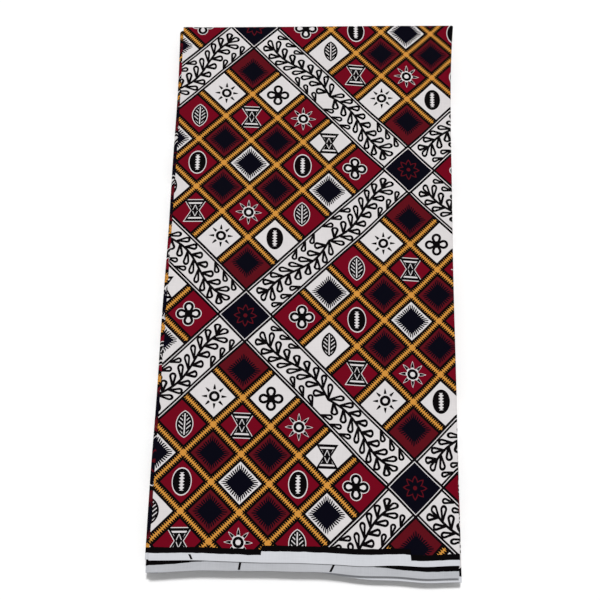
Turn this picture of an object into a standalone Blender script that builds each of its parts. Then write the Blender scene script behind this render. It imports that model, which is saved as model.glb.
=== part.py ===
"""A two-yard length of wax print cotton, folded flat, in metres with +Z up.

The cloth is folded in half, selvage to selvage, and then back and forth into six leaves.
Each leaf is two layers joined by the lengthwise fold at the back (+Y). The selvages lie at the front (-Y).
Leaves are numbered from 0 at the top to 5 at the bottom, and a turn joins each leaf to the next:
even turns are at the right (+X) and odd ones at the left (-X). The cut ends of the cloth are at the left.
"""

import math

import bmesh
import bpy

# Driving sizes
LEAVES = 6
LAYER = 0.0010  # thickness of one layer of cloth
GAP = 0.0003  # air between layers
SELVAGE_Y = -0.285  # front edge of the top layer
BACK_Y = 0.285  # back fold at the pile's left corner
BACK_RISE = 0.015  # how much further back the fold is at the right corner
CORNER_ROUND = 0.007  # rounding of the back left corner
SEAM_RUN = 0.009  # flat run between a turn and the seam with the next solid

# Heights and bend sizes that follow from them
LAYER_PITCH = LAYER + GAP
LEAF_PITCH = 2 * LAYER_PITCH
LAYER_OFFSET = LAYER_PITCH / 2  # from a leaf's middle to the middle of each layer
LEAF_HALF = LAYER_OFFSET + LAYER / 2
TURN_RADIUS = LEAF_PITCH / 2
TURN_REACH = TURN_RADIUS + LEAF_HALF

# The pile's sides: x at the front, how far x moves towards the back, and a flare near the back
SIDES = {
    "left": {"front": -0.1542, "drift": 0.0070, "flare": -0.0030},
    "right": {"front": 0.1432, "drift": 0.0045, "flare": 0.0060},
}
FLARE_POWER = 8

# Turn k joins leaf k to leaf k + 1. Insets are from the pile's outline.
TURNS = [
    {"front": 0.0018, "back": 0.0000, "wave": 0.0004, "waves": 2.5, "phase": 0.3},
    {"front": 0.0000, "back": 0.0004, "wave": 0.0005, "waves": 3.5, "phase": 1.9},
    {"front": 0.0002, "back": 0.0016, "wave": 0.0003, "waves": 1.5, "phase": 4.0},
    {"front": 0.0020, "back": 0.0012, "wave": 0.0005, "waves": 2.0, "phase": 0.9},
    {"front": 0.0011, "back": 0.0024, "wave": 0.0004, "waves": 3.0, "phase": 2.6},
]
CUT_END_INSET = {0: 0.0047, LEAVES - 1: 0.0032}

# How far each leaf's back fold lies inside the pile's back edge
BACK_INSET = [0.0002, 0.0016, 0.0030, 0.0009, 0.0024, 0.0012]

# How far the selvages lie in front of SELVAGE_Y at the first cut end, at each turn and at the last cut end.
# Layer a is the outer half of the cloth, and layer b the half that is folded under it.
# The higher the bend, the closer to that end the edge swings forward.
SELVAGE_ENDS = [
    {"a": 0.0000, "b": 0.0108, "bend": 2.00},
    {"a": -0.0004, "b": 0.0108, "bend": 1.00},
    {"a": 0.0108, "b": -0.0012, "bend": 5.00},
    {"a": 0.0142, "b": -0.0010, "bend": 0.45},
    {"a": 0.0030, "b": 0.0092, "bend": 6.00},
    {"a": 0.0000, "b": 0.0108, "bend": 1.60},
    {"a": 0.0020, "b": 0.0092, "bend": 4.00},
]

# The same at the middle of each leaf
SELVAGE_MIDDLES = [
    {"a": -0.0001, "b": 0.0074},
    {"a": 0.0018, "b": 0.0070},
    {"a": 0.0040, "b": 0.0060},
    {"a": 0.0022, "b": 0.0056},
    {"a": 0.0012, "b": 0.0046},
    {"a": 0.0004, "b": 0.0042},
]

# Where the whole front waves forward, or back where the reach is below 0. Shares are of a leaf's width.
SELVAGE_WAVES = [
    {"share": 0.14, "width": 0.10, "reach": -0.0010},
    {"share": 0.69, "width": 0.10, "reach": 0.0018},
    {"share": 0.89, "width": 0.07, "reach": 0.0017},
]

# Broad soft ridges that stand in the top leaf, where the cloth doesn't quite settle
RIDGES = [
    {"x": -0.060, "y": 0.120, "turn": 62, "length": 0.150, "width": 0.030, "height": 0.0011},
    {"x": 0.045, "y": -0.060, "turn": 78, "length": 0.190, "width": 0.034, "height": 0.0009},
    {"x": -0.085, "y": -0.150, "turn": 100, "length": 0.120, "width": 0.026, "height": 0.0010},
    {"x": 0.085, "y": 0.190, "turn": 96, "length": 0.110, "width": 0.028, "height": 0.0010},
    {"x": 0.070, "y": -0.215, "turn": 18, "length": 0.080, "width": 0.022, "height": 0.0008},
]
CURL = 0.0012  # lift of the top leaf's free left edge
CURL_REACH = 0.022
CURL_WAVES = 1.4

# The one solid for the hidden leaves, which is layered at its edges
INNER_FIRST, INNER_LAST = 2, 4
FRONT_GROOVE = 0.006  # depth of the grooves between the layers at the front
BACK_GROOVE = 0.0024  # depth of the grooves between the leaves at the back
INNER_CORNER = 0.003
LEVELS = (0.0, 0.16, 0.43, 0.50, 0.57, 0.84, 1.0)  # rings, as shares of a leaf's thickness
BETWEEN_LAYERS = 0.50

# How finely the leaves are divided
MESH = {
    "top": {"columns": 14, "rows": 18},
    "lower": {"columns": 8, "rows": 12},
}
TURN_STEPS = 5
FOLD_STEPS = 4
CORNER_STEPS = 2
NEAR_CORNER = (0.0, 0.005, 0.012, 0.025)  # extra columns, as shares of a leaf's width from the left

PRINT_COLOUR = (0.195, 0.012, 0.022, 1.0)
ROUGHNESS = 0.8
SHARP_ANGLE = 50  # degrees


def lerp(low, high, share):
    return low + (high - low) * share


def smooth(share):
    share = min(1.0, max(0.0, share))
    return share * share * (3 - 2 * share)


def along(y):
    """Share of the way from the front selvage to the back fold."""
    return min(1.0, max(0.0, (y - SELVAGE_Y) / (BACK_Y + BACK_RISE - SELVAGE_Y)))


def outline_x(side, y):
    """The pile's side edge at this y."""
    row = SIDES[side]
    share = along(y)
    return row["front"] + row["drift"] * share + row["flare"] * share**FLARE_POWER


def turn_side(turn):
    return "left" if turn % 2 else "right"


def turn_centre(turn, y):
    """x of the middle line of a turn, which lies inside its outermost point."""
    row = TURNS[turn]
    share = along(y)
    ripple = row["wave"] * (1 + math.sin(math.tau * row["waves"] * share + row["phase"])) / 2
    inset = lerp(row["front"], row["back"], share) + ripple + TURN_REACH
    side = turn_side(turn)
    return outline_x(side, y) + (inset if side == "left" else -inset)


def leaf_edge(leaf, side, y):
    """x where a leaf ends at this side: its cut end, or the middle line of its turn."""
    turn = leaf if (leaf % 2 == 0) == (side == "right") else leaf - 1
    if 0 <= turn < LEAVES - 1:
        return turn_centre(turn, y)
    return outline_x(side, y) + CUT_END_INSET[leaf]


def leaf_z(leaf):
    return (LEAVES - 1 - leaf) * LEAF_PITCH + LEAF_HALF


def back_y(leaf, x):
    """y of the middle line of a leaf's back fold, with the rounded left corner."""
    left, right = outline_x("left", BACK_Y), outline_x("right", BACK_Y)
    edge = BACK_Y + BACK_RISE * (x - left) / (right - left)
    beyond = max(0.0, CORNER_ROUND - (x - left))
    edge -= CORNER_ROUND - math.sqrt(max(0.0, CORNER_ROUND**2 - beyond**2))
    return edge - BACK_INSET[leaf] - LEAF_HALF


def front_y(leaf, layer, share):
    """y of a layer's selvage, at this share of the way from the leaf's left edge to its right edge."""
    near_start = (leaf % 2 == 0) == (share < 0.5)
    end = SELVAGE_ENDS[leaf if near_start else leaf + 1]
    swing = smooth(abs(2 * share - 1) ** end["bend"])
    ahead = lerp(SELVAGE_MIDDLES[leaf][layer], end[layer], swing)
    for row in SELVAGE_WAVES:
        ahead += row["reach"] * math.exp(-(((share - row["share"]) / row["width"]) ** 2))
    return SELVAGE_Y - ahead


def lift(x, y):
    """Height of the top leaf above its flat level."""
    total = 0.0
    for row in RIDGES:
        angle = math.radians(row["turn"])
        dx, dy = x - row["x"], y - row["y"]
        run = (dx * math.cos(angle) + dy * math.sin(angle)) / row["length"]
        across = (dy * math.cos(angle) - dx * math.sin(angle)) / row["width"]
        total += row["height"] * math.exp(-(run**2) - across**2)
    from_left = x - leaf_edge(0, "left", y)
    from_right = leaf_edge(0, "right", y) - x
    swell = (1 + math.sin(math.tau * CURL_WAVES * along(y))) / 2
    total += CURL * swell * (1 - smooth(from_left / CURL_REACH))
    return total * smooth(from_right / CURL_REACH)


def on_leaf(leaf, share):
    """A station on the flat of a leaf: for a y it gives x, z and the direction of the outer layer."""
    up = 1 if leaf % 2 == 0 else -1

    def place(y):
        x = lerp(leaf_edge(leaf, "left", y), leaf_edge(leaf, "right", y), share)
        return x, leaf_z(leaf), 0.0, up

    return leaf, share, place


def beside_turn(leaf, turn, run):
    """A station on the flat of a leaf, at this run from one of its turns."""
    up = 1 if leaf % 2 == 0 else -1
    inward = 1 if turn_side(turn) == "left" else -1

    def place(y):
        return turn_centre(turn, y) + inward * run, leaf_z(leaf), 0.0, up

    return leaf, 0.0 if inward == 1 else 1.0, place


def on_turn(turn, angle):
    """A station part of the way round a turn, from the upper leaf at 0 to the lower one at pi."""
    side = turn_side(turn)
    out = 1 if side == "right" else -1
    z = (leaf_z(turn) + leaf_z(turn + 1)) / 2
    leaf = turn if angle <= math.pi / 2 else turn + 1

    def place(y):
        x = turn_centre(turn, y) + out * TURN_RADIUS * math.sin(angle)
        return x, z + TURN_RADIUS * math.cos(angle), math.sin(angle), out * math.cos(angle)

    return leaf, 1.0 if side == "right" else 0.0, place


def turn_stations(turn):
    return [on_turn(turn, math.pi * step / TURN_STEPS) for step in range(1, TURN_STEPS)]


def leaf_stations(leaf, columns):
    """Stations from a leaf's left edge to its right edge."""
    places = NEAR_CORNER + tuple(step / columns for step in range(1, columns + 1))
    return [on_leaf(leaf, share) for share in places]


def profile(rows):
    """Places across the cloth: up layer a to the back fold, round it, and back along layer b."""
    places = [("a", step / rows) for step in range(rows + 1)]
    places += [("fold", math.pi * step / FOLD_STEPS) for step in range(1, FOLD_STEPS)]
    return places + [("b", 1 - step / rows) for step in range(rows + 1)]


def cloth_point(station, place, lifted):
    leaf, share, at = station
    layer, value = place
    fold = back_y(leaf, at(BACK_Y)[0])
    offset = -LAYER_OFFSET if layer == "b" else LAYER_OFFSET
    if layer == "fold":
        y = fold + LAYER_OFFSET * math.sin(value)
        offset = LAYER_OFFSET * math.cos(value)
    else:
        y = lerp(front_y(leaf, layer, share), fold, value)
    x, z, normal_x, normal_z = at(y)
    height = lift(x, y) if lifted and leaf == 0 else 0.0
    return x + normal_x * offset, y, z + normal_z * offset + height


def printed_cotton(name):
    made = bpy.data.materials.new(name)
    made.use_nodes = True
    shader = made.node_tree.nodes["Principled BSDF"]
    shader.inputs["Base Color"].default_value = PRINT_COLOUR
    shader.inputs["Roughness"].default_value = ROUGHNESS
    shader.inputs["Metallic"].default_value = 0.0
    return made


def add_object(name, mesh, collection):
    mesh.materials.append(printed_cotton(name))
    mesh.shade_smooth()
    mesh.set_sharp_from_angle(angle=math.radians(SHARP_ANGLE))
    made = bpy.data.objects.new(name, mesh)
    collection.objects.link(made)
    return made


def fold_sheet(name, stations, places, collection, lifted=False):
    """Bends a flat grid into a doubled leaf and gives it the cloth's thickness."""
    mesh = bpy.data.meshes.new(name)
    bm = bmesh.new()
    columns, rows = len(stations), len(places)
    bmesh.ops.create_grid(bm, x_segments=columns - 1, y_segments=rows - 1, size=0.5)
    for vertex in bm.verts:
        column = round((vertex.co.x + 0.5) * (columns - 1))
        row = round((vertex.co.y + 0.5) * (rows - 1))
        vertex.co = cloth_point(stations[column], places[row], lifted)
    bm.to_mesh(mesh)
    bm.free()
    made = add_object(name, mesh, collection)
    wall = made.modifiers.new("Cloth thickness", "SOLIDIFY")
    wall.thickness = LAYER
    wall.offset = 0.0
    wall.use_even_offset = True
    return made


def round_nose(z, low, high):
    """How far a round fold from low to high falls back at height z."""
    radius = (high - low) / 2
    off = min(radius, abs(z - (low + high) / 2))
    return radius - math.sqrt(radius**2 - off**2)


def inner_levels():
    """The rings of the hidden leaves from the bottom up. Some lie in a groove between layers or leaves."""
    levels = []
    for leaf in range(INNER_LAST, INNER_FIRST - 1, -1):
        low = leaf_z(leaf) - LEAF_HALF
        for share in LEVELS:
            groove = "layers" if share == BETWEEN_LAYERS else None
            layer = "b" if (leaf % 2 == 0) == (share < BETWEEN_LAYERS) else "a"
            z = low + share * 2 * LEAF_HALF
            levels.append({"z": z, "leaf": leaf, "layer": layer, "groove": groove})
        if leaf > INNER_FIRST:
            top = dict(levels[-1], groove="leaves")
            top["z"] += GAP / 2
            levels.append(top)
    return levels


def inner_side_x(side, level, y):
    """The side edge of the hidden leaves: a round fold over two of them, or the seam with an outer leaf."""
    upper, lower, seam_turn = (2, 3, 4) if side == "right" else (3, 4, 1)
    inward = -1 if side == "right" else 1
    if level["leaf"] not in (upper, lower):
        return turn_centre(seam_turn, y) + inward * (SEAM_RUN + GAP)
    reach = TURN_REACH - round_nose(level["z"], leaf_z(lower) - LEAF_HALF, leaf_z(upper) + LEAF_HALF)
    return turn_centre(upper, y) - inward * reach


def inner_ring(level, columns, rows):
    """One ring of the hidden leaves, counter-clockwise from the front left corner."""
    z, leaf, layer, groove = level["z"], level["leaf"], level["layer"], level["groove"]

    def left(y):
        return inner_side_x("left", level, y)

    def right(y):
        return inner_side_x("right", level, y)

    def front(share):
        y = front_y(leaf, layer, share)
        if groove == "layers":
            y = max(front_y(leaf, "a", share), front_y(leaf, "b", share))
        return y + FRONT_GROOVE if groove else y

    def back(x):
        low = leaf_z(leaf) - LEAF_HALF
        fold = back_y(leaf, x) + LEAF_HALF - round_nose(z, low, low + 2 * LEAF_HALF)
        return fold - BACK_GROOVE if groove == "leaves" else fold

    def corner(side_x, x_way, edge_y, y_way, start):
        """A quarter circle, where the ways point from the corner into the leaf."""
        middle_x = side_x(edge_y) + x_way * INNER_CORNER
        middle_y = edge_y + y_way * INNER_CORNER
        turns = [start + math.pi / 2 * step / CORNER_STEPS for step in range(CORNER_STEPS + 1)]
        return [
            (middle_x + INNER_CORNER * math.cos(turn), middle_y + INNER_CORNER * math.sin(turn), z)
            for turn in turns
        ]

    front_left = corner(left, 1, front(0.0), 1, math.pi)
    front_right = corner(right, -1, front(1.0), 1, 1.5 * math.pi)
    back_right = corner(right, -1, back(right(BACK_Y)), -1, 0.0)
    back_left = corner(left, 1, back(left(BACK_Y)), -1, 0.5 * math.pi)
    across = [step / columns for step in range(1, columns)]
    upwards = [step / rows for step in range(1, rows)]
    ring = list(front_left)
    ring += [(lerp(front_left[-1][0], front_right[0][0], share), front(share), z) for share in across]
    ring += front_right
    right_ys = [lerp(front_right[-1][1], back_right[0][1], share) for share in upwards]
    ring += [(right(y), y, z) for y in right_ys]
    ring += back_right
    back_xs = [lerp(back_right[-1][0], back_left[0][0], share) for share in across]
    ring += [(x, back(x), z) for x in back_xs]
    ring += back_left
    left_ys = [lerp(back_left[-1][1], front_left[0][1], share) for share in upwards]
    ring += [(left(y), y, z) for y in left_ys]
    return ring


def loft(name, rings, collection):
    """Joins rings of equal length into a closed solid with flat ends."""
    mesh = bpy.data.meshes.new(name)
    bm = bmesh.new()
    loops = [[bm.verts.new(point) for point in ring] for ring in rings]
    count = len(loops[0])
    for below, above in zip(loops, loops[1:]):
        for here in range(count):
            after = (here + 1) % count
            bm.faces.new((below[here], below[after], above[after], above[here]))
    bm.faces.new(reversed(loops[0]))
    bm.faces.new(loops[-1])
    bmesh.ops.recalc_face_normals(bm, faces=bm.faces)
    bm.to_mesh(mesh)
    bm.free()
    return add_object(name, mesh, collection)


def clear_scene():
    for old in list(bpy.data.objects):
        bpy.data.objects.remove(old)


def build():
    clear_scene()
    pile = bpy.data.collections.new("Folded wax print cloth")
    bpy.context.scene.collection.children.link(pile)
    upper, lower = MESH["top"], MESH["lower"]

    # Leaf 0, face up, and the turn at the right that leads under it
    stations = leaf_stations(0, upper["columns"])
    stations += turn_stations(0)
    stations += [beside_turn(1, 0, run) for run in (0.0, SEAM_RUN)]
    fold_sheet("top_leaf", stations, profile(upper["rows"]), pile, lifted=True)

    # Leaf 1, whose fold shows past the left edge of the top leaf, and the turn there
    stations = [beside_turn(1, 0, SEAM_RUN + GAP)]
    stations += reversed(leaf_stations(1, lower["columns"])[:-1])
    stations += turn_stations(1)
    stations += [beside_turn(2, 1, run) for run in (0.0, SEAM_RUN)]
    fold_sheet("second_leaf", stations, profile(lower["rows"]), pile)

    # Leaves 2 to 4, hidden but for their edges
    rings = [inner_ring(level, lower["columns"], lower["rows"]) for level in inner_levels()]
    loft("inner_leaves", rings, pile)

    # Leaf 5, which lies on the surface, and the turn at the right that leads down to it
    stations = [beside_turn(4, 4, run) for run in (SEAM_RUN, 0.0)]
    stations += turn_stations(4)
    stations += reversed(leaf_stations(5, lower["columns"]))
    fold_sheet("bottom_leaf", stations, profile(lower["rows"]), pile)


build()
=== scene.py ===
"""The looks of a folded length of wax print cotton, in metres with +Z up.

The cloth is one strip, folded in half along its length and then back and forth into six leaves.
Every point of it has a place on the flat cloth: s along its length and t across it, selvage to selvage.
The print is worked out from s and t by shader nodes, so it runs on round every fold.
"""

import math
import random
from collections import namedtuple

import bpy
import numpy as np
from mathutils import Matrix, Vector, noise


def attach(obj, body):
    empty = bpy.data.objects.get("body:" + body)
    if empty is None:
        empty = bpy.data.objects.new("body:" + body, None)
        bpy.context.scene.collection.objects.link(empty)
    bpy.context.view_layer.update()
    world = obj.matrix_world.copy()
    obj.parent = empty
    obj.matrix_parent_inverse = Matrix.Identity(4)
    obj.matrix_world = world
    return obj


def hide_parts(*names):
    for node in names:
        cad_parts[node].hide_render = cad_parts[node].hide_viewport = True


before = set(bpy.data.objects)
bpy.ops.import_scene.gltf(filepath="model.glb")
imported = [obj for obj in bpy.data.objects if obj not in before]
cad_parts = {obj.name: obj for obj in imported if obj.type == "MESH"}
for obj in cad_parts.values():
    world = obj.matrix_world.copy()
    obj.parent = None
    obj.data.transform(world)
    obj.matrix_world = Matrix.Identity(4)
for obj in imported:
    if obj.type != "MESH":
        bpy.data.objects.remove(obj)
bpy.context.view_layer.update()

# The folded form, as the solids have it
LEAVES = 6
LAYER = 0.0010  # thickness of one layer of the solids
LAYER_PITCH = 0.0013  # from one layer to the next
SELVAGE_Y = -0.285  # front edge of the top layer
BACK_Y = 0.285  # back fold at the pile's left corner
BACK_RISE = 0.015  # how much further back the fold is at the right corner
CORNER_ROUND = 0.007  # rounding of the back left corner
LEAF_PITCH = 2 * LAYER_PITCH
LAYER_OFFSET = LAYER_PITCH / 2  # from a leaf's middle to the middle of each layer
LEAF_HALF = LAYER_OFFSET + LAYER / 2
TURN_RADIUS = LEAF_PITCH / 2
TURN_REACH = TURN_RADIUS + LEAF_HALF
CLOTH_WIDTH = 1.17  # from selvage to selvage
START_X = -0.152  # where s is 0 on the top leaf

# The pile's sides: x at the front, how far x moves towards the back, and a flare near the back
SIDES = {
    "left": {"front": -0.1542, "drift": 0.0070, "flare": -0.0030},
    "right": {"front": 0.1432, "drift": 0.0045, "flare": 0.0060},
}
FLARE_POWER = 8

# Turn k joins leaf k to leaf k + 1. Insets are from the pile's outline.
TURNS = [
    {"front": 0.0018, "back": 0.0000, "wave": 0.0004, "waves": 2.5, "phase": 0.3},
    {"front": 0.0000, "back": 0.0004, "wave": 0.0005, "waves": 3.5, "phase": 1.9},
    {"front": 0.0002, "back": 0.0016, "wave": 0.0003, "waves": 1.5, "phase": 4.0},
    {"front": 0.0020, "back": 0.0012, "wave": 0.0005, "waves": 2.0, "phase": 0.9},
    {"front": 0.0011, "back": 0.0024, "wave": 0.0004, "waves": 3.0, "phase": 2.6},
]

# The insets of the two cut ends, by the leaf that has each
CUT_END_INSET = {0: 0.0047, LEAVES - 1: 0.0032}

# How far each leaf's back fold lies inside the pile's back edge
BACK_INSET = [0.0002, 0.0016, 0.0030, 0.0009, 0.0024, 0.0012]

# How far the selvages lie in front of SELVAGE_Y at the first cut end, at each turn and at the last cut end.
# Layer a is the outer half of the cloth, and layer b the half that is folded under it.
# The higher the bend, the closer to that end the edge leaves its line at the leaf's middle.
SELVAGE_ENDS = [
    {"a": 0.0000, "b": 0.0108, "bend": 2.00},
    {"a": -0.0004, "b": 0.0108, "bend": 1.00},
    {"a": 0.0108, "b": -0.0012, "bend": 5.00},
    {"a": 0.0142, "b": -0.0010, "bend": 0.45},
    {"a": 0.0030, "b": 0.0092, "bend": 6.00},
    {"a": 0.0000, "b": 0.0108, "bend": 1.60},
    {"a": 0.0020, "b": 0.0092, "bend": 4.00},
]

# The same at the middle of each leaf
SELVAGE_MIDDLES = [
    {"a": -0.0001, "b": 0.0074},
    {"a": 0.0018, "b": 0.0070},
    {"a": 0.0040, "b": 0.0060},
    {"a": 0.0022, "b": 0.0056},
    {"a": 0.0012, "b": 0.0046},
    {"a": 0.0004, "b": 0.0042},
]

# Where the whole front waves forward, or back where the reach is below 0. Shares are of a leaf's width.
SELVAGE_WAVES = [
    {"share": 0.14, "width": 0.10, "reach": -0.0010},
    {"share": 0.69, "width": 0.10, "reach": 0.0018},
    {"share": 0.89, "width": 0.07, "reach": 0.0017},
]

# Broad soft ridges of the top leaf, as the solids have them
RIDGES = [
    {"x": -0.060, "y": 0.120, "turn": 62, "length": 0.150, "width": 0.030, "height": 0.0011},
    {"x": 0.045, "y": -0.060, "turn": 78, "length": 0.190, "width": 0.034, "height": 0.0009},
    {"x": -0.085, "y": -0.150, "turn": 100, "length": 0.120, "width": 0.026, "height": 0.0010},
    {"x": 0.085, "y": 0.190, "turn": 96, "length": 0.110, "width": 0.028, "height": 0.0010},
    {"x": 0.070, "y": -0.215, "turn": 18, "length": 0.080, "width": 0.022, "height": 0.0008},
]
CURL = 0.0012  # lift of the top leaf's free left edge
CURL_REACH = 0.022
CURL_WAVES = 1.4

# Creases of the top leaf, finer than the solids have. A height below 0 is a trough.
CREASES = [
    {"x": 0.020, "y": 0.225, "turn": 84, "length": 0.050, "width": 0.0070, "height": 0.00034},
    {"x": -0.105, "y": 0.215, "turn": 128, "length": 0.036, "width": 0.0060, "height": -0.00026},
    {"x": -0.030, "y": 0.060, "turn": 48, "length": 0.044, "width": 0.0080, "height": -0.00030},
    {"x": 0.100, "y": 0.070, "turn": 103, "length": 0.058, "width": 0.0065, "height": 0.00032},
    {"x": 0.065, "y": -0.035, "turn": 70, "length": 0.040, "width": 0.0075, "height": -0.00028},
    {"x": -0.090, "y": -0.055, "turn": 93, "length": 0.062, "width": 0.0060, "height": 0.00030},
    {"x": -0.020, "y": -0.140, "turn": 35, "length": 0.048, "width": 0.0085, "height": 0.00034},
    {"x": 0.110, "y": -0.155, "turn": 81, "length": 0.038, "width": 0.0060, "height": -0.00026},
    {"x": -0.060, "y": -0.235, "turn": 150, "length": 0.034, "width": 0.0070, "height": -0.00028},
    {"x": 0.030, "y": -0.255, "turn": 96, "length": 0.026, "width": 0.0060, "height": 0.00030},
    {"x": -0.120, "y": 0.105, "turn": 88, "length": 0.030, "width": 0.0055, "height": 0.00028},
]

# How the leaves settle on each other: low swells that keep to the air between two layers
THICKNESS = 0.00048  # of the cloth itself
SWELL = 0.00026
SWELL_SIZE = 0.055
SWELL_NEAR_EDGE = 0.00012
EDGE_REACH = 0.030
SELVAGE_WAVER = 0.0004
SELVAGE_WAVE_SIZE = 0.030
NOISE_STEPS = {"leaf": 3.1, "edge": 7.7, "layer": 2.7}  # how far apart two of them take their noise

# How finely the leaves are divided
MESH = {
    "top": {"columns": 72, "rows": 144, "under_rows": 44},
    "lower": {"columns": 40, "rows": 56, "under_rows": 40},
}
TURN_STEPS = 10
FOLD_STEPS = 10
PAST_FOLD = 0.012  # how far a face piece runs on past the back fold, to the under piece
PAST_TURN = 0.010  # how far both pieces of a leaf run on past its turn, to the next leaf's
FRONT_SHARE = 0.06  # share of an under piece's depth, at its selvage, with closer rows
FRONT_ROWS = 12  # how many of them
SHARP_ANGLE = 50  # degrees from which an edge is shaded as a sharp one

# The share of a bake's width that the outer side takes, before the inner side and the rim
BAKE_SHARE = {"face": 0.80, "under": 0.50}
BAKE_GAP = 0.01

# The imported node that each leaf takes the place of
NODES = ["top_leaf", "second_leaf", "inner_leaves", "inner_leaves", "inner_leaves", "bottom_leaf"]

# A line of points across the cloth. For a y, its place gives x, z, the way that layer a faces, and s.
Station = namedtuple("Station", "leaf share place")


def lerp(low, high, share):
    return low + (high - low) * share


def smooth(share):
    share = min(1.0, max(0.0, share))
    return share * share * (3 - 2 * share)


def along(y):
    """Share of the way from the front selvage to the back fold."""
    return min(1.0, max(0.0, (y - SELVAGE_Y) / (BACK_Y + BACK_RISE - SELVAGE_Y)))


def outline_x(side, y):
    """The pile's side edge at this y."""
    row = SIDES[side]
    share = along(y)
    return row["front"] + row["drift"] * share + row["flare"] * share**FLARE_POWER


def turn_side(turn):
    return "left" if turn % 2 else "right"


def turn_centre(turn, y):
    """x of the middle line of a turn, which lies inside its outermost point."""
    row = TURNS[turn]
    share = along(y)
    ripple = row["wave"] * (1 + math.sin(math.tau * row["waves"] * share + row["phase"])) / 2
    inset = lerp(row["front"], row["back"], share) + ripple + TURN_REACH
    side = turn_side(turn)
    return outline_x(side, y) + (inset if side == "left" else -inset)


def leaf_edge(leaf, side, y):
    """x where a leaf ends at this side: its cut end, or the middle line of its turn."""
    turn = leaf if (leaf % 2 == 0) == (side == "right") else leaf - 1
    if 0 <= turn < LEAVES - 1:
        return turn_centre(turn, y)
    return outline_x(side, y) + CUT_END_INSET[leaf]


def leaf_z(leaf):
    return (LEAVES - 1 - leaf) * LEAF_PITCH + LEAF_HALF


def back_y(leaf, x):
    """y of the middle line of a leaf's back fold, with the rounded left corner."""
    left, right = outline_x("left", BACK_Y), outline_x("right", BACK_Y)
    edge = BACK_Y + BACK_RISE * (x - left) / (right - left)
    beyond = max(0.0, CORNER_ROUND - (x - left))
    edge -= CORNER_ROUND - math.sqrt(max(0.0, CORNER_ROUND**2 - beyond**2))
    return edge - BACK_INSET[leaf] - LEAF_HALF


def front_y(leaf, layer, share):
    """y of a layer's selvage, at this share of the way from the leaf's left edge to its right edge."""
    near_start = (leaf % 2 == 0) == (share < 0.5)
    end = SELVAGE_ENDS[leaf if near_start else leaf + 1]
    swing = smooth(abs(2 * share - 1) ** end["bend"])
    ahead = lerp(SELVAGE_MIDDLES[leaf][layer], end[layer], swing)
    for row in SELVAGE_WAVES:
        ahead += row["reach"] * math.exp(-(((share - row["share"]) / row["width"]) ** 2))
    x = lerp(leaf_edge(leaf, "left", SELVAGE_Y), leaf_edge(leaf, "right", SELVAGE_Y), share)
    edge = NOISE_STEPS["edge"] if layer == "a" else 0.0
    place = Vector((x / SELVAGE_WAVE_SIZE, NOISE_STEPS["leaf"] * leaf, edge))
    return SELVAGE_Y - ahead + SELVAGE_WAVER * (1 - swing) * noise.noise(place)


def rise(rows, x, y):
    """Height that a table of ridges and troughs gives here."""
    total = 0.0
    for row in rows:
        angle = math.radians(row["turn"])
        dx, dy = x - row["x"], y - row["y"]
        run = (dx * math.cos(angle) + dy * math.sin(angle)) / row["length"]
        across = (dy * math.cos(angle) - dx * math.sin(angle)) / row["width"]
        total += row["height"] * math.exp(-(run**2) - across**2)
    return total


def lift(x, y):
    """Height of the top leaf above its flat level."""
    from_left = x - leaf_edge(0, "left", y)
    from_right = leaf_edge(0, "right", y) - x
    swell = (1 + math.sin(math.tau * CURL_WAVES * along(y))) / 2
    total = rise(RIDGES + CREASES, x, y) + CURL * swell * (1 - smooth(from_left / CURL_REACH))
    return total * smooth(from_right / CURL_REACH)


def settle(leaf, layer, x, y):
    """The swell of one layer, which differs from the next one's and grows a little towards the front."""
    near_front = 1 - smooth((y - SELVAGE_Y) / EDGE_REACH)
    level = 2 * leaf + (layer == "b")
    place = Vector((x / SWELL_SIZE, y / SWELL_SIZE, NOISE_STEPS["layer"] * level))
    return (SWELL + SWELL_NEAR_EDGE * near_front) * noise.noise(place)


def length_to(turn, y):
    """Length of the cloth from s = 0 to the start of a turn."""
    total = turn_centre(0, y) - START_X
    for k in range(1, turn + 1):
        total += math.pi * TURN_RADIUS + abs(turn_centre(k, y) - turn_centre(k - 1, y))
    return total


def on_leaf(leaf, x_at, share):
    """A station on the flat of a leaf, where x_at gives its x for a y."""
    up = 1 if leaf % 2 == 0 else -1

    def place(y):
        x = x_at(y)
        if leaf == 0:
            return x, leaf_z(0), 0.0, up, x - START_X
        run = abs(x - turn_centre(leaf - 1, y))
        return x, leaf_z(leaf), 0.0, up, length_to(leaf - 1, y) + math.pi * TURN_RADIUS + run

    return Station(leaf, share, place)


def at_share(leaf, share):
    """A station on the flat of a leaf, at this share of the way from its left edge to its right one."""

    def x_at(y):
        return lerp(leaf_edge(leaf, "left", y), leaf_edge(leaf, "right", y), share)

    return on_leaf(leaf, x_at, share)


def beside_turn(leaf, turn, run):
    """A station on the flat of a leaf, at this run from one of its turns."""
    inward = 1 if turn_side(turn) == "left" else -1

    def x_at(y):
        return turn_centre(turn, y) + inward * run

    return on_leaf(leaf, x_at, 0.0 if inward == 1 else 1.0)


def on_turn(turn, angle):
    """A station part of the way round a turn, from the upper leaf at 0 to the lower one at pi."""
    out = 1 if turn_side(turn) == "right" else -1
    z = (leaf_z(turn) + leaf_z(turn + 1)) / 2
    leaf = turn if angle <= math.pi / 2 else turn + 1

    def place(y):
        x = turn_centre(turn, y) + out * TURN_RADIUS * math.sin(angle)
        s = length_to(turn, y) + angle * TURN_RADIUS
        return x, z + TURN_RADIUS * math.cos(angle), math.sin(angle), out * math.cos(angle), s

    return Station(leaf, 1.0 if out == 1 else 0.0, place)


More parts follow.
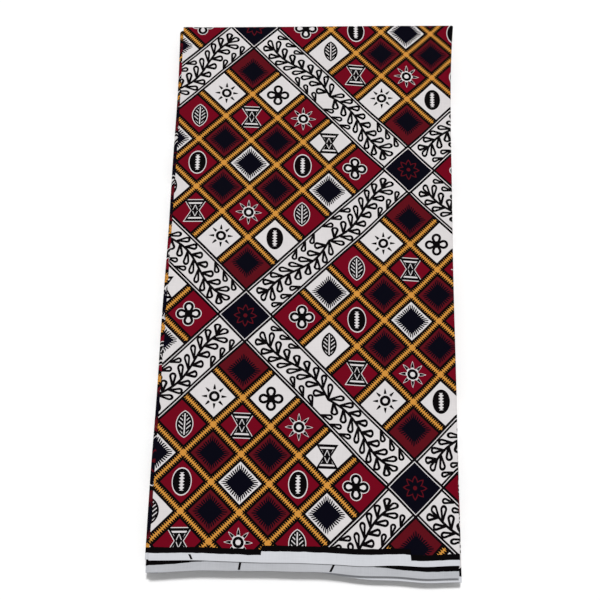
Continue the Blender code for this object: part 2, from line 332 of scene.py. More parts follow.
def leaf_stations(leaf, columns):
    """Stations along a leaf in the cloth's own direction, with its next turn, to a little past that."""
    shares = [step / columns for step in range(columns + 1)]
    if leaf % 2:
        shares.reverse()
    stations = [at_share(leaf, share) for share in shares]
    if leaf > 0:
        # The piece before this one runs on over its first two columns
        stations = [beside_turn(leaf, leaf - 1, PAST_TURN)] + stations[2:]
    if leaf < LEAVES - 1:
        stations += [on_turn(leaf, math.pi * step / TURN_STEPS) for step in range(1, TURN_STEPS)]
        stations += [beside_turn(leaf + 1, leaf, run) for run in (0.0, PAST_TURN / 2, PAST_TURN)]
    return stations


def face_places(rows):
    """Places across the cloth: up layer a to the back fold, round it, and a little along layer b."""
    places = [("a", step / rows) for step in range(rows + 1)]
    places += [("fold", math.pi * step / FOLD_STEPS) for step in range(1, FOLD_STEPS)]
    return places + [("past", share) for share in (0.0, 0.5, 1.0)]


def under_places(rows):
    """Places along layer b from where the face piece ends to the selvage, closer together at the front."""
    shares = [(1 - FRONT_SHARE) * step / rows for step in range(rows)]
    shares += [lerp(1 - FRONT_SHARE, 1, step / FRONT_ROWS) for step in range(FRONT_ROWS + 1)]
    return [("b", share) for share in shares]


def cloth_point(station, place):
    """Where a point of the cloth lies, and its place on the flat cloth."""
    leaf, share, at = station
    kind, value = place
    fold = back_y(leaf, at(BACK_Y)[0])
    front_a, front_b = front_y(leaf, "a", share), front_y(leaf, "b", share)
    t_at_fold = fold - front_a
    t_past_fold = t_at_fold + math.pi * LAYER_OFFSET
    layer, offset = ("a", LAYER_OFFSET) if kind == "a" else ("b", -LAYER_OFFSET)
    if kind == "a":
        y = lerp(front_a, fold, value)
        t = y - front_a
    elif kind == "fold":
        y = fold + LAYER_OFFSET * math.sin(value)
        t = t_at_fold + value * LAYER_OFFSET
        offset = LAYER_OFFSET * math.cos(value)
    else:
        y = fold - PAST_FOLD * value if kind == "past" else lerp(fold - PAST_FOLD, front_b, value)
        t = lerp(t_past_fold, CLOTH_WIDTH, (fold - y) / (fold - front_b))
    x, z, normal_x, normal_z, s = at(y)
    height = lift(x, y) if leaf == 0 and normal_x == 0.0 else 0.0
    calm = smooth((fold - y) / EDGE_REACH) * (1 - abs(normal_x))
    height += settle(leaf, layer, x, y) * calm
    return (x + normal_x * offset, y, z + normal_z * offset + height), (s, t)


def add_piece(name, mesh, material, node):
    """A piece of the cloth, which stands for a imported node."""
    mesh.materials.append(material)
    mesh.shade_smooth()
    mesh.set_sharp_from_angle(angle=math.radians(SHARP_ANGLE))
    piece = bpy.data.objects.new(name, mesh)
    bpy.context.scene.collection.objects.link(piece)
    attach(piece, "root")
    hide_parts(node)
    return piece


def unit_normals(points):
    """Normals of a grid of points, from its rows and columns."""
    across = np.gradient(points, axis=0)
    up = np.gradient(points, axis=1)
    normals = np.cross(across, up)
    return normals / np.linalg.norm(normals, axis=2, keepdims=True)


def grid_faces(columns, rows, first):
    """The faces of a grid of points, where first is the number of its first point."""
    faces = []
    for i in range(columns - 1):
        for j in range(rows - 1):
            a = first + i * rows + j
            faces.append((a, a + rows, a + rows + 1, a + 1))
    return faces


def shell(name, stations, places, material, node, kind):
    """A thin closed sheet round the grid of points that the stations and places give, and its flat size."""
    pairs = [[cloth_point(station, place) for place in places] for station in stations]
    middle = np.array([[pair[0] for pair in column] for column in pairs])
    flat = np.array([[pair[1] for pair in column] for column in pairs]).reshape(-1, 2)
    columns, rows = middle.shape[:2]
    half = unit_normals(middle) * THICKNESS / 2
    count = columns * rows
    points = np.concatenate([(middle + half).reshape(-1, 3), (middle - half).reshape(-1, 3)])
    outer = grid_faces(columns, rows, 0)
    inner = [tuple(reversed(face)) for face in grid_faces(columns, rows, count)]
    rim = [i * rows for i in range(columns)]
    rim += [(columns - 1) * rows + j for j in range(1, rows)]
    rim += [i * rows + rows - 1 for i in range(columns - 2, -1, -1)]
    rim += list(range(rows - 2, 0, -1))
    walls = [(b, a, a + count, b + count) for a, b in zip(rim, rim[1:] + rim[:1])]
    mesh = bpy.data.meshes.new(name)
    mesh.from_pydata(points.tolist(), [], outer + inner + walls)
    write_maps(mesh, flat, columns, rows, len(outer), len(rim), BAKE_SHARE[kind])
    size = [round(float(side), 3) for side in np.ptp(flat, axis=0)]
    return add_piece(name, mesh, material, node), size


def write_maps(mesh, flat, columns, rows, side_faces, wall_faces, share):
    """A map of each point's place on the flat cloth, one for baking, and a mark on the cloth's reverse."""
    count = len(flat)
    loops = np.zeros(len(mesh.loops), dtype=np.int32)
    mesh.loops.foreach_get("vertex_index", loops)
    cloth = mesh.uv_layers.new(name="Cloth")
    cloth.uv.foreach_set("vector", flat[loops % count].astype(np.float32).ravel())
    i, j = np.divmod(loops % count, rows)
    u, v = i / (columns - 1), j / (rows - 1)

    # Each face has four loops. Those of the outer side come first, then the inner side's and the rim's.
    outer = np.arange(len(loops)) < 4 * side_faces
    u = np.where(outer, u * share, share + BAKE_GAP + u * (1 - share - 3 * BAKE_GAP))
    wall = np.arange(len(loops)) >= 8 * side_faces
    face, corner = np.divmod(np.arange(wall.sum()), 4)
    u[wall] = 1 - BAKE_GAP + BAKE_GAP * (corner > 1)
    v[wall] = (face + (corner % 3 == 0)) / wall_faces
    bake = mesh.uv_layers.new(name="OFBake")
    bake.uv.foreach_set("vector", np.stack([u, v], 1).astype(np.float32).ravel())
    # The material darkens this reverse side, mostly as painted shade for the lower layers' edges
    reverse = mesh.attributes.new(name="Reverse", type="FLOAT", domain="CORNER")
    reverse.data.foreach_set("value", (~outer).astype(np.float32))


# The print, in millimetres on the flat cloth
MILLIMETRES = 1000.0  # in a metre
CELL = 39.0  # side of a square of the trellis
CELLS = 5  # squares along a block
BAND = 41.0  # width of the leafy bands between blocks
BAND_LINES = {"leafy": 15.5, "black": 17.4, "white": 18.2}  # how far each goes from the band's middle
PERIOD = CELLS * CELL + BAND
PHASE_A = 27.3  # where the first star squares fall
PHASE_B = 130.1
WAVER = 0.5  # how unevenly the blocks were printed
WAVER_SIZE = 22.0
DIAGONAL = math.sqrt(0.5)
FAR = 50.0  # a distance well outside any motif

# The inks that the print is made of, and the bare cotton of the selvages
INKS = {
    "white": (0.668, 0.640, 0.642),
    "crimson": (0.150, 0.0012, 0.0095),
    "ochre": (0.600, 0.265, 0.045),
    "black": (0.0016, 0.0010, 0.0014),
    "navy": (0.0013, 0.0012, 0.0050),
    "maroon": (0.098, 0.0040, 0.0085),
    "selvage": (0.600, 0.610, 0.645),
}

# The fills of a block's squares. Two of them hold a navy square with a fringe of fine strokes.
FILLS = {
    "c": {"ground": "crimson", "navy": None},
    "w": {"ground": "white", "navy": None},
    "n": {"ground": "white", "navy": {"half": 9.6, "fringe": 3.9}},
    "m": {"ground": "maroon", "navy": {"half": 8.6, "fringe": 4.0}},
}

# A block's squares: the first sign is the fill and the second the motif, where a dot stands for none
CHART = [
    "cf wl cd wr m.",
    "n. cs m. cr ws",
    "cl m. n. m. cl",
    "wr cd m. cs n.",
    "m. wf cr wd cf",
]

# A fringe's strokes, which taper from their roots. Their lengths vary either way by the share `uneven`.
FRINGE = {"pitch": 2.1, "fan": 0.10, "uneven": 0.15, "change": 4.1, "gap": 0.26, "taper": 0.22}

# The toothed lines between the squares: how far each part goes from the line's middle
TRELLIS = {"core": 0.5, "teeth": 3.3, "border": 5.1, "knot": 3.2, "pitch": 2.3, "bluntness": 0.7}

# The leafy bands: a winding stem, its leaflets, and buds on the band's edges, which are outlined drops
STEM = {"half": 1.25, "end": 85.0}
WINDING = {"stretch": 97.0, "reach": 4.8}
LEAFLET = {"pitch": 11.0, "slant": 47, "root": 0.8, "length": 10.0, "narrow": 1.1, "wide": 3.6, "line": 2.4}
LEAFLET_ROOTS = {"first": -0.5, "last": 87.0}  # the stretch of the stem that has leaflets
CROWDING = 0.006  # how much smaller one is for each millimetre that the stem lies nearer to its edge
END_LEAFLET = {"start": 82.5, "length": 9.0, "narrow": 1.1, "wide": 3.7, "line": 2.3}
BUD = {"pitch": 12.6, "slant": 31, "length": 8.4, "narrow": 0.9, "wide": 3.1, "line": 2.2}
BUD_ROOM = 2.4  # how far off the stem must lie, beyond the band's middle

# The star where two bands cross: how far out its notches are, and how much further its points go
STAR = {"points": 8, "notch": 6.2, "point": 4.8, "line_half": 0.8, "dot": 2.0}

# The motifs. Widths and heights are from a motif's middle.
MOTIF_RIM = 0.8  # the white round a motif
MOTIF_LINE = 1.1  # the least black inside its edge
FLOWER = {"length": 7.2, "narrow": 2.0, "wide": 5.0, "line": 2.7, "heart": 3.8}
COWRIE = {"width": 8.6, "height": 12.2, "slit": 0.6, "slit_height": 8.6, "tooth": 2.0, "pitch": 3.0}
DRUM = {"waist": 3.8, "flare": 0.60, "height": 11.8, "wall": 1.9, "band": 8.3, "band_half": 0.85}
LACING = {"height": 6.4, "half": 0.8, "pitch": 5.6}
VEINED_LEAF = {"arc": 14.2, "arc_offset": 6.6, "rim": 1.7, "midrib": 0.6}
VEINS = {"start": 1.7, "half": 0.6, "rise": 0.9, "pitch": 4.2}
RAYS = {"count": 8, "disc": 5.3, "hole": 2.5, "start": 6.9, "end": 12.6, "spread": 8.6, "width": 0.74}

# The selvages, along a stretch that repeats: how wide each is at these places, and evenly between them.
# The near one is at t = 0.
SELVAGE_STRETCH = 610.0
NEAR_WIDTHS = {106.0: 6.6, 106.5: 10.2, 246.0: 10.2, 246.5: 5.3, 300.0: 5.3, 300.5: 6.6}
FAR_WIDTHS = {24.0: 7.0, 64.0: 8.9, 205.0: 8.9, 237.0: 6.2}
SELVAGE_EDGE = {"size": 9.0, "unevenness": 0.9}
STRIPE = 5.4  # width of the black stripe beside a selvage
MARK = {"half": 1.1, "from_edge": 0.8, "from_stripe": 1.2}
NEAR_MARKS = [{"at": 42.5, "slant": 0.5}]
FAR_MARKS = [{"at": 86.0, "slant": -0.15}, {"at": 170.5, "slant": -0.5}, {"at": 309.0, "slant": 0.4}]

# The cotton takes dye unevenly, in broad clouds and along its threads, which changes colour and roughness
CLOUDS = {"size": 45.0, "detail": 3.0}
THREAD = {"width": 0.9, "squeeze": 0.06}
# Darker reverse: mostly painted shade on the lower layers' selvages, and a little duller dye
DYE_AND_SHADE = {"clouds": 0.14, "threads": 0.10, "reverse": 0.24}
ROUGHNESS = {"plain": 0.70, "clouds": 0.16, "threads": 0.12}
SHEEN = {"specular": 0.03, "weight": 0.02, "roughness": 0.45}
WEAVE = {"pitch": 0.42, "share": 0.12, "strength": 0.35}
WEAVE_DEPTH = 0.00016  # in metres


class Field:
    """A number at each point of the cloth: shader Math nodes, written as arithmetic."""

    tree = None  # the node tree that the nodes go into

    def __init__(self, socket):
        self.socket = socket

    def math(self, operation, *others):
        node = Field.tree.nodes.new("ShaderNodeMath")
        node.operation = operation
        for socket, value in zip(node.inputs, (self, *others)):
            feed(socket, value)
        return Field(node.outputs[0])

    def __add__(self, other):
        return self.math("ADD", other)

    def __sub__(self, other):
        return self.math("SUBTRACT", other)

    def __mul__(self, other):
        return self.math("MULTIPLY", other)

    def __truediv__(self, other):
        return self.math("DIVIDE", other)

    def __mod__(self, other):
        return self.math("FLOORED_MODULO", other)

    def __abs__(self):
        return self.math("ABSOLUTE")

    def less_from(self, other):
        """The other number less this one."""
        return self * -1.0 + other

    def below(self, other):
        """1 where this number is less than the other, and 0 elsewhere."""
        return self.math("LESS_THAN", other)

    def above(self, other):
        return self.math("GREATER_THAN", other)

    def equals(self, number):
        return self.math("COMPARE", float(number), 0.5)

    def least(self, other):
        return self.math("MINIMUM", other)

    def most(self, other):
        return self.math("MAXIMUM", other)

    def clamp(self):
        """This number kept between 0 and 1."""
        return self.most(0.0).least(1.0)

    def triangle(self, pitch):
        """A wave that falls from 1 to 0 and rises again once a pitch."""
        return abs((self / pitch) % 1.0 - 0.5) * 2.0

    def chosen(self, yes, no):
        """One value where this field is 1, and another where it is 0."""
        node = Field.tree.nodes.new("ShaderNodeMix")
        for socket, value in zip((node.inputs[0], node.inputs[2], node.inputs[3]), (self, no, yes)):
            feed(socket, value)
        return Field(node.outputs[0])


def feed(socket, value):
    """Links a field to a socket, or sets the number there."""
    if isinstance(value, Field):
        Field.tree.links.new(value.socket, socket)
    else:
        socket.default_value = value


def node_of(kind, **settings):
    node = Field.tree.nodes.new(kind)
    for name, value in settings.items():
        setattr(node, name, value)
    return node


def scaled(socket, factor):
    """A vector or a colour, multiplied by a number or a field."""
    node = node_of("ShaderNodeVectorMath", operation="SCALE")
    Field.tree.links.new(socket, node.inputs[0])
    feed(node.inputs["Scale"], factor)
    return node.outputs[0]


def stretched(point, along_s, along_t):
    """A point whose places along and across the cloth are multiplied by these."""
    node = node_of("ShaderNodeVectorMath", operation="MULTIPLY")
    node.inputs[1].default_value = (along_s, along_t, 1.0)
    Field.tree.links.new(point, node.inputs[0])
    return node.outputs[0]


def noise_field(point, size, detail=2.0):
    """Noise from 0 to 1 whose lumps have this size, in the units of the point."""
    node = node_of("ShaderNodeTexNoise", noise_dimensions="2D")
    node.inputs["Scale"].default_value = 1.0 / size
    node.inputs["Detail"].default_value = detail
    Field.tree.links.new(point, node.inputs["Vector"])
    return Field(node.outputs["Fac"])


def listed(number, colours):
    """The colour at this number in a list, from a ramp with a step for each."""
    node = node_of("ShaderNodeValToRGB")
    ramp = node.color_ramp
    ramp.interpolation = "CONSTANT"
    ramp.elements.remove(ramp.elements[1])
    for index, colour in enumerate(colours):
        element = ramp.elements[0] if index == 0 else ramp.elements.new(index / len(colours))
        element.color = (*colour, 1.0)
    feed(node.inputs[0], (number + 0.5) / float(len(colours)))
    return node.outputs[0]


def length(x, y):
    return (x * x + y * y).math("SQRT")


def drop(x, y, size):
    """Distance to a drop that runs from the origin along y, with a narrow end and a wide one."""
    lean = (size["narrow"] - size["wide"]) / size["length"]
    upright = math.sqrt(1 - lean * lean)
    share = ((y * upright - abs(x) * lean) / (upright * size["length"])).clamp()
    radius = share * (size["wide"] - size["narrow"]) + size["narrow"]
    return length(x, y - share * size["length"]) - radius


def ink_number(name):
    return float(list(INKS).index(name))


def paint(ink, mask, name):
    """Lays one ink over the others where the mask is 1."""
    return mask.chosen(ink_number(name), ink)


# Each motif gives two distances: to its outer edge, and to the white parts inside it.


def flower(x, y):
    ax, ay = abs(x), abs(y)
    petals = drop(ax.least(ay), ax.most(ay), FLOWER)
    return petals, (petals + FLOWER["line"]).most(length(x, y).less_from(FLOWER["heart"]))


def cowrie(x, y):
    rim = (length(x / COWRIE["width"], y / COWRIE["height"]) - 1.0) * COWRIE["width"]
    slit = abs(x) - y.triangle(COWRIE["pitch"]) * COWRIE["tooth"] - COWRIE["slit"]
    return rim, slit.most(abs(y) - COWRIE["slit_height"])


def drum(x, y):
    flare = abs(x) - abs(y) * DRUM["flare"] - DRUM["waist"]
    bands = abs(abs(y) - DRUM["band"]) - DRUM["band_half"]
    lacing = abs(x.triangle(LACING["pitch"]) * LACING["height"] - abs(y)) - LACING["half"]
    lacing = lacing.most(abs(y) - LACING["height"])
    return flare.most(abs(y) - DRUM["height"]), bands.least(lacing).most(flare + DRUM["wall"])


def veined_leaf(x, y):
    blade = length(abs(x) + VEINED_LEAF["arc_offset"], y) - VEINED_LEAF["arc"]
    veins = abs((y - abs(x) * VEINS["rise"]) % VEINS["pitch"] - VEINS["pitch"] / 2) - VEINS["half"]
    veins = veins.most(abs(x).less_from(VEINS["start"]))
    midrib = abs(x) - VEINED_LEAF["midrib"]
    return blade, midrib.least(veins).most(blade + VEINED_LEAF["rim"])


def rays(x, y):
    radius = length(x, y)
    wedge = y.math("ARCTAN2", x).triangle(math.tau / RAYS["count"])
    spokes = wedge.less_from(1.0) * RAYS["spread"] - radius.less_from(RAYS["end"]) * RAYS["width"]
    spokes = spokes.most(radius.less_from(RAYS["start"]))
    return (radius - RAYS["disc"]).least(spokes), radius - RAYS["hole"]


# The motifs by their signs in the chart
MOTIFS = {".": None, "f": flower, "s": cowrie, "d": drum, "l": veined_leaf, "r": rays}


def chart_numbers(row, column):
    """The fill and the motif of a square, as their numbers in FILLS and MOTIFS."""
    shares = []
    for fill, motif in " ".join(CHART).split():
        fill_share = (list(FILLS).index(fill) + 0.5) / len(FILLS)
        motif_share = (list(MOTIFS).index(motif) + 0.5) / len(MOTIFS)
        shares.append((fill_share, motif_share, 0.0))
    split = node_of("ShaderNodeSeparateColor")
    Field.tree.links.new(listed(row * float(CELLS) + column, shares), split.inputs[0])
    fill_number = (Field(split.outputs[0]) * float(len(FILLS))).math("FLOOR")
    motif_number = (Field(split.outputs[1]) * float(len(MOTIFS))).math("FLOOR")
    return fill_number, motif_number


def fringed_square(u, v, half, fringe):
    """1 in a square and in the fine strokes that stand out from it, fanned a little at its corners."""
    out = abs(u).most(abs(v)) - half
    beside = abs(u).above(abs(v)).chosen(v, u) / (out * FRINGE["fan"] + 1.0)
    unevenness = (beside * FRINGE["change"]).math("SINE") * FRINGE["uneven"]
    reach = (unevenness + (1 - FRINGE["uneven"])) * fringe
    thinness = out / fringe * FRINGE["taper"] + FRINGE["gap"]
    strokes = out.below(reach) * beside.triangle(FRINGE["pitch"]).above(thinness) * abs(beside).below(half)
    return out.below(0.0).most(strokes)


def lay_squares(ink, row, column, u, v):
    """The fills of the squares, with their motifs upright on the cloth."""
    fill, motif = chart_numbers(row, column)
    for number, look in enumerate(FILLS.values()):
        here = fill.equals(number)
        ink = paint(ink, here, look["ground"])
        if look["navy"]:
            ink = paint(ink, here * fringed_square(u, v, **look["navy"]), "navy")
    x, y = (u + v) * DIAGONAL, (u - v) * DIAGONAL
    outer, inner = FAR, FAR
    for number, shape in enumerate(MOTIFS.values()):
        if shape:
            here = motif.equals(number)
            edge, white = shape(x, y)
            outer = here.chosen(edge, outer)
            inner = here.chosen(white, inner)
    ink = paint(ink, outer.below(MOTIF_RIM), "white")
    ink = paint(ink, outer.below(0.0), "black")
    return paint(ink, outer.below(-MOTIF_LINE) * inner.below(0.0), "white")


def off_line(cell):
    """How far a point lies from the nearest line between two squares."""
    return abs((cell + CELL / 2) % CELL - CELL / 2)


def between_squares(cell):
    """1 where the nearest line lies between two squares, and not at the block's edge."""
    return cell.above(CELL / 2) * cell.below((CELLS - 0.5) * CELL)


def teeth(run):
    """How far the teeth go from the middle of a line, at this place along it."""
    hollow = run.triangle(TRELLIS["pitch"]).less_from(1.0).math("POWER", TRELLIS["bluntness"])
    return (hollow.less_from(1.0) * TRELLIS["teeth"]).most(TRELLIS["core"])


def lay_trellis(ink, cell_a, cell_b):
    """The toothed ochre lines between the squares of a block, each on a black line."""
    off_a, off_b = off_line(cell_a), off_line(cell_b)
    inside_a, inside_b = between_squares(cell_a), between_squares(cell_b)
    ink = paint(ink, inside_a * off_a.below(TRELLIS["border"]), "black")
    ink = paint(ink, inside_b * off_b.below(TRELLIS["border"]), "black")
    ink = paint(ink, inside_a * off_a.below(teeth(cell_b)), "ochre")
    ink = paint(ink, inside_b * off_b.below(teeth(cell_a)), "ochre")
    knot = (off_a + off_b).below(TRELLIS["knot"])
    return paint(ink, inside_a * inside_b * knot, "ochre")


def winding(place):
    """How far the stem lies from the band's middle."""
    return (place * (math.tau / WINDING["stretch"])).math("SINE") * WINDING["reach"]


def slanted(from_root, off, slant):
    """A point's places across and along a line that slants out from its root."""
    across = from_root * math.sin(slant)
    out = from_root * math.cos(slant) + off / math.sin(slant)
    return across, out


def leaflets(place, side):
    """1 in the outlines of the leaflets, which stand on both sides of the stem in turn."""
    slant = math.radians(LEAFLET["slant"])
    foot = place - abs(side) / math.tan(slant)
    stagger = side.above(0.0) * (LEAFLET["pitch"] / 2)
    from_root = (foot + stagger) % LEAFLET["pitch"] - LEAFLET["pitch"] / 2
    root = foot - from_root
    across, out = slanted(from_root, abs(side), slant)
    scale = side.math("SIGN") * winding(root) * -CROWDING + 1.0
    edge = drop(across / scale, (out - LEAFLET["root"]) / scale, LEAFLET) * scale
    line = edge.below(0.0) * edge.above(-LEAFLET["line"])
    return line * root.above(LEAFLET_ROOTS["first"]) * root.below(LEAFLET_ROOTS["last"])


def buds(place, off):
    """1 in the outlines of the buds on the band's edges, where the stem leaves room for them."""
    slant = math.radians(BUD["slant"])
    inward = abs(off).less_from(BAND_LINES["leafy"])
    foot = place - inward / math.tan(slant)
    root = ((foot / BUD["pitch"]).math("FLOOR") + 0.5) * BUD["pitch"]
    across, out = slanted(foot - root, inward, slant)
    edge = drop(across, out, BUD)
    line = edge.below(0.0) * edge.above(-BUD["line"]) * inward.above(0.0)
    nearness = off.math("SIGN") * winding(root + BUD["length"] / 2)
    return line * nearness.below(-BUD_ROOM) * root.above(0.0) * root.below(LEAFLET_ROOTS["last"])


def lay_band(ink, band, off, run):
    """A white band with a winding stem, whose leaflets point to the star squares from half-way between."""
    edge = abs(off)
    ink = paint(ink, band, "black")
    ink = paint(ink, band * edge.below(BAND_LINES["white"]), "white")
    ink = paint(ink, band * edge.below(BAND_LINES["black"]), "black")
    ink = paint(ink, band * edge.below(BAND_LINES["leafy"]), "white")
    place = abs(run - (BAND + CELLS * CELL / 2))
    side = off - winding(place)
    ink = paint(ink, band * abs(side).below(STEM["half"]) * place.below(STEM["end"]), "black")
    ink = paint(ink, band * leaflets(place, side), "black")
    end = drop(side, place - END_LEAFLET["start"], END_LEAFLET)
    ink = paint(ink, band * end.below(0.0), "black")
    ink = paint(ink, band * end.below(-END_LEAFLET["line"]), "white")
    return paint(ink, band * buds(place, off), "black")


def lay_star_square(ink, square, x, y):
    """A navy square with an outlined star, where two bands cross."""
    edge = abs(x).most(abs(y))
    ink = paint(ink, square, "black")
    ink = paint(ink, square * edge.below(BAND_LINES["white"]), "white")
    ink = paint(ink, square * edge.below(BAND_LINES["black"]), "navy")
    radius = length(x, y)
    wedge = y.math("ARCTAN2", x).triangle(math.tau / STAR["points"])
    outline = abs(radius - wedge * STAR["point"] - STAR["notch"]).below(STAR["line_half"])
    return paint(ink, square * outline.most(radius.below(STAR["dot"])), "maroon")


def lay_selvage(ink, s, t, place):
    """The unprinted selvage with its slanted marks, and the black stripe beside it."""
    rough = (noise_field(place, SELVAGE_EDGE["size"]) - 0.5) * SELVAGE_EDGE["unevenness"]
    along_stretch = s % SELVAGE_STRETCH
    near, far = t + rough, t.less_from(MILLIMETRES * CLOTH_WIDTH) + rough
    for edge, widths, marks in ((near, NEAR_WIDTHS, NEAR_MARKS), (far, FAR_WIDTHS, FAR_MARKS)):
        places = list(widths.items())
        width = places[0][1]
        for (start, low), (end, high) in zip(places, places[1:]):
            width = ((along_stretch - start) / (end - start)).clamp() * (high - low) + width
        ink = paint(ink, (edge - STRIPE).below(width), "black")
        ink = paint(ink, edge.below(width), "selvage")
        inside = (edge + MARK["from_stripe"]).below(width) * edge.above(MARK["from_edge"])
        for mark in marks:
            line = abs(along_stretch + edge * mark["slant"] - mark["at"]).below(MARK["half"])
            ink = paint(ink, line * inside, "black")
    return ink


def printed_ink(s, t, place):
    """The number of the ink at each place on the flat cloth."""
    waver = (noise_field(place, WAVER_SIZE) - 0.5) * WAVER
    a = (s + t + waver) * DIAGONAL + PHASE_A
    b = (s - t + waver) * DIAGONAL + PHASE_B
    in_a, in_b = a % PERIOD, b % PERIOD
    cell_a, cell_b = in_a - BAND, in_b - BAND
    row, column = (cell_a / CELL).math("FLOOR"), (cell_b / CELL).math("FLOOR")
    ink = ink_number("white")
    ink = lay_squares(ink, row, column, cell_a % CELL - CELL / 2, cell_b % CELL - CELL / 2)
    ink = lay_trellis(ink, cell_a, cell_b)
    band_a, band_b = in_a.below(BAND), in_b.below(BAND)
    ink = lay_band(ink, band_a, in_a - BAND / 2, in_b)
    ink = lay_band(ink, band_b, in_b - BAND / 2, in_a)
    ink = lay_star_square(ink, band_a * band_b, in_a - BAND / 2, in_b - BAND / 2)
    return lay_selvage(ink, s, t, place)


def printed_cotton():
    """The cloth's material, with the print on both sides, as wax goes through the cotton."""
    made = bpy.data.materials.new("wax_print")
    made.use_nodes = True
    Field.tree = made.node_tree
    links = made.node_tree.links
    shader = made.node_tree.nodes["Principled BSDF"]
    place = scaled(node_of("ShaderNodeUVMap", uv_map="Cloth").outputs[0], MILLIMETRES)
    split = node_of("ShaderNodeSeparateXYZ")
    links.new(place, split.inputs[0])
    s, t = Field(split.outputs[0]), Field(split.outputs[1])
    colour = listed(printed_ink(s, t, place), list(INKS.values()))

    # Uneven dye in broad clouds and single threads, and painted shade on the reverse side
    clouds = noise_field(place, CLOUDS["size"], CLOUDS["detail"])
    warp = noise_field(stretched(place, 1.0, THREAD["squeeze"]), THREAD["width"])
    weft = noise_field(stretched(place, THREAD["squeeze"], 1.0), THREAD["width"])
    # The reverse shows at the lower layers' edges: mostly painted shade there, and a little duller dye
    reverse = Field(node_of("ShaderNodeAttribute", attribute_name="Reverse").outputs["Fac"])
    shade = (clouds - 0.5) * DYE_AND_SHADE["clouds"] + (warp + weft - 1.0) * DYE_AND_SHADE["threads"]
    shade = shade - reverse * DYE_AND_SHADE["reverse"] + 1.0
    links.new(scaled(colour, shade), shader.inputs["Base Color"])

    # A dry, slightly starched surface
    roughness = clouds * ROUGHNESS["clouds"] + (warp - 0.5) * ROUGHNESS["threads"] + ROUGHNESS["plain"]
    feed(shader.inputs["Roughness"], roughness)
    shader.inputs["Specular IOR Level"].default_value = SHEEN["specular"]
    shader.inputs["Sheen Weight"].default_value = SHEEN["weight"]
    shader.inputs["Sheen Roughness"].default_value = SHEEN["roughness"]

    # A plain weave, with the slubs of its threads
    turn = math.pi / WEAVE["pitch"]
    threads = (s * turn).math("SINE") * (t * turn).math("SINE")
    bump = node_of("ShaderNodeBump")
    bump.inputs["Strength"].default_value = WEAVE["strength"]
    bump.inputs["Distance"].default_value = WEAVE_DEPTH
    feed(bump.inputs["Height"], threads * WEAVE["share"] + warp + weft)
    links.new(bump.outputs[0], shader.inputs["Normal"])
    return made


# Loose threads at the cut ends, in metres
FRAY = {
    "threads": 90,
    "first": 0.01,  # the shares of an end between which they start
    "last": 0.985,
    "turn": 0.7,  # radians, either way
    "down": -0.10,
    "up": 0.12,
    "shortest": 0.0008,
    "longest": 0.0030,
    "root": 0.0006,  # how far inside the cloth they start
    "knee": 0.6,  # the share of its length where a thread bends, and the share by which it does
    "bend": 0.3,
    "radius": 0.00011,
    "sides": 3,
    "seed": 11,
}


def loose_thread(edge, rng):
    """The way that a thread leaves the cut end, three points along it, and its place on the flat cloth."""
    layer = rng.choice("ab")
    base, place = cloth_point(edge, (layer, rng.uniform(FRAY["first"], FRAY["last"])))
    turn = rng.uniform(-FRAY["turn"], FRAY["turn"])
    way = Vector((-math.cos(turn), math.sin(turn), rng.uniform(FRAY["down"], FRAY["up"])))
    reach = rng.uniform(FRAY["shortest"], FRAY["longest"])
    bend = Vector((0, rng.uniform(-FRAY["bend"], FRAY["bend"]), 0)) * reach
    start = Vector(base) - way * FRAY["root"]
    return way, [start, start + way * reach * FRAY["knee"], start + way * reach + bend], place


def frayed_end(name, leaf, material):
    """Short loose threads along the cut end of a leaf, at both of its layers, in one mesh."""
    rng = random.Random(leaf + FRAY["seed"])
    edge = at_share(leaf, 0.0)
    sides = FRAY["sides"]
    points, faces, flat = [], [], []
    for _ in range(FRAY["threads"]):
        way, centres, place = loose_thread(edge, rng)
        aside = way.cross(Vector((0, 0, 1))).normalized()
        first = len(points)
        for centre in centres:
            for k in range(sides):
                angle = math.tau * k / sides
                off = aside * math.cos(angle) + Vector((0, 0, math.sin(angle)))
                points.append(centre + off * FRAY["radius"])
                flat.append(place)
        last = len(points) - sides
        for low in range(first, last, sides):
            for k in range(sides):
                after = (k + 1) % sides
                faces.append((low + k, low + sides + k, low + sides + after, low + after))
        faces.append([first + k for k in range(sides)])
        faces.append([last + k for k in reversed(range(sides))])
    mesh = bpy.data.meshes.new(name)
    mesh.from_pydata(points, [], faces)
    cloth = mesh.uv_layers.new(name="Cloth")
    for loop in mesh.loops:
        cloth.uv[loop.index].vector = flat[loop.vertex_index]
    return add_piece(name, mesh, material, NODES[leaf])


# Camera, floor and light, with angles in degrees
CAMERA = {
    "aim": Vector((-0.0130, -0.0274, 0.0153)),
    "distance": 1.047,
    "tilt": 18.6,  # from straight above
    "yaw": 6.38,
    "roll": -7.57,
    "lens": 62.4,  # in millimetres, as the sensor is
    "sensor": 36.0,
    "nearest": 0.01,
}
SUN = {"height": 65.0, "size": 11.0, "strength": 2.38}
SKY = 0.38
FLOOR = {"size": 40, "below": 0.00005, "colour": (0.98, 0.98, 0.98, 1.0)}


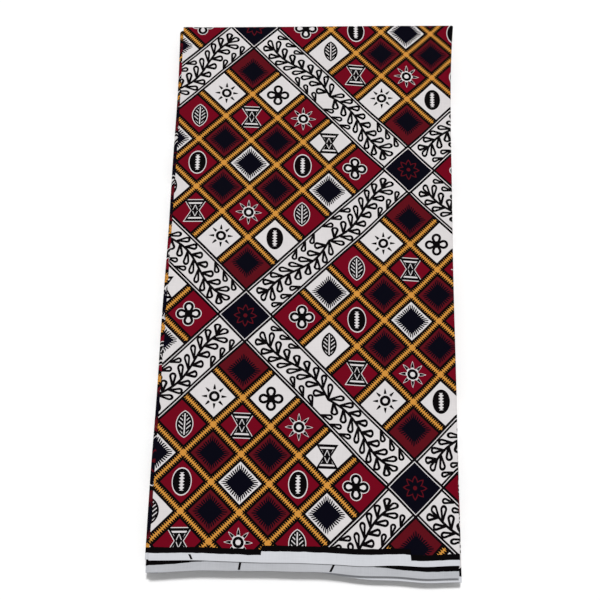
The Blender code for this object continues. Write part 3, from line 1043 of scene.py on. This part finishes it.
def add_camera():
    """A camera that looks down at the cloth from in front of it."""
    yaw, tilt, roll = (math.radians(CAMERA[name]) for name in ("yaw", "tilt", "roll"))
    across = Vector((math.cos(yaw), -math.sin(yaw), 0))
    ahead = Vector((math.sin(yaw), math.cos(yaw), 0))
    up = ahead * math.cos(tilt) + Vector((0, 0, math.sin(tilt)))
    view = ahead * math.sin(tilt) - Vector((0, 0, math.cos(tilt)))
    right = across * math.cos(roll) - up * math.sin(roll)
    top = across * math.sin(roll) + up * math.cos(roll)
    camera = bpy.data.objects.new("camera", bpy.data.cameras.new("camera"))
    camera.data.lens = CAMERA["lens"]
    camera.data.sensor_width = CAMERA["sensor"]
    camera.data.clip_start = CAMERA["nearest"]
    turn = Matrix((right, top, -view)).transposed().to_4x4()
    camera.matrix_world = Matrix.Translation(CAMERA["aim"] - view * CAMERA["distance"]) @ turn
    bpy.context.scene.collection.objects.link(camera)
    bpy.context.scene.camera = camera


def add_floor():
    bpy.ops.mesh.primitive_plane_add(size=FLOOR["size"], location=(0, 0, -FLOOR["below"]))
    floor = bpy.context.object
    floor.name = "floor"
    made = bpy.data.materials.new("floor")
    made.use_nodes = True
    shader = made.node_tree.nodes["Principled BSDF"]
    shader.inputs["Base Color"].default_value = FLOOR["colour"]
    shader.inputs["Roughness"].default_value = 1.0
    shader.inputs["Specular IOR Level"].default_value = 0.0
    floor.data.materials.append(made)
    return floor


def add_light():
    """A soft high light behind the cloth, and an even white sky."""
    sun = bpy.data.objects.new("sun", bpy.data.lights.new("sun", "SUN"))
    sun.data.energy = SUN["strength"]
    sun.data.angle = math.radians(SUN["size"])
    sun.rotation_euler = (math.radians(SUN["height"] - 90), 0, 0)
    bpy.context.scene.collection.objects.link(sun)
    world = bpy.data.worlds.new("sky")
    world.use_nodes = True
    background = world.node_tree.nodes["Background"]
    background.inputs["Color"].default_value = (1, 1, 1, 1)
    background.inputs["Strength"].default_value = SKY
    bpy.context.scene.world = world
    bpy.context.scene.view_settings.view_transform = "Standard"


def build():
    """A face piece and an under piece for each leaf, with loose threads at the cut ends."""
    cloth = printed_cotton()
    below = add_floor()
    for leaf in reversed(range(LEAVES)):
        sizes = MESH["lower" if leaf else "top"]
        stations = leaf_stations(leaf, sizes["columns"])
        kinds = {"face": face_places(sizes["rows"]), "under": under_places(sizes["under_rows"])}
        pieces = {}
        for kind, places in kinds.items():
            name = f"leaf_{leaf + 1}_{kind}"
            pieces[kind], flat = shell(name, stations, places, cloth, NODES[leaf], kind)
            threads = []
            if kind == "face" and leaf in CUT_END_INSET:
                threads = [frayed_end(f"leaf_{leaf + 1}_threads", leaf, cloth)]
        below = pieces["face"]
    add_camera()
    add_light()


build()
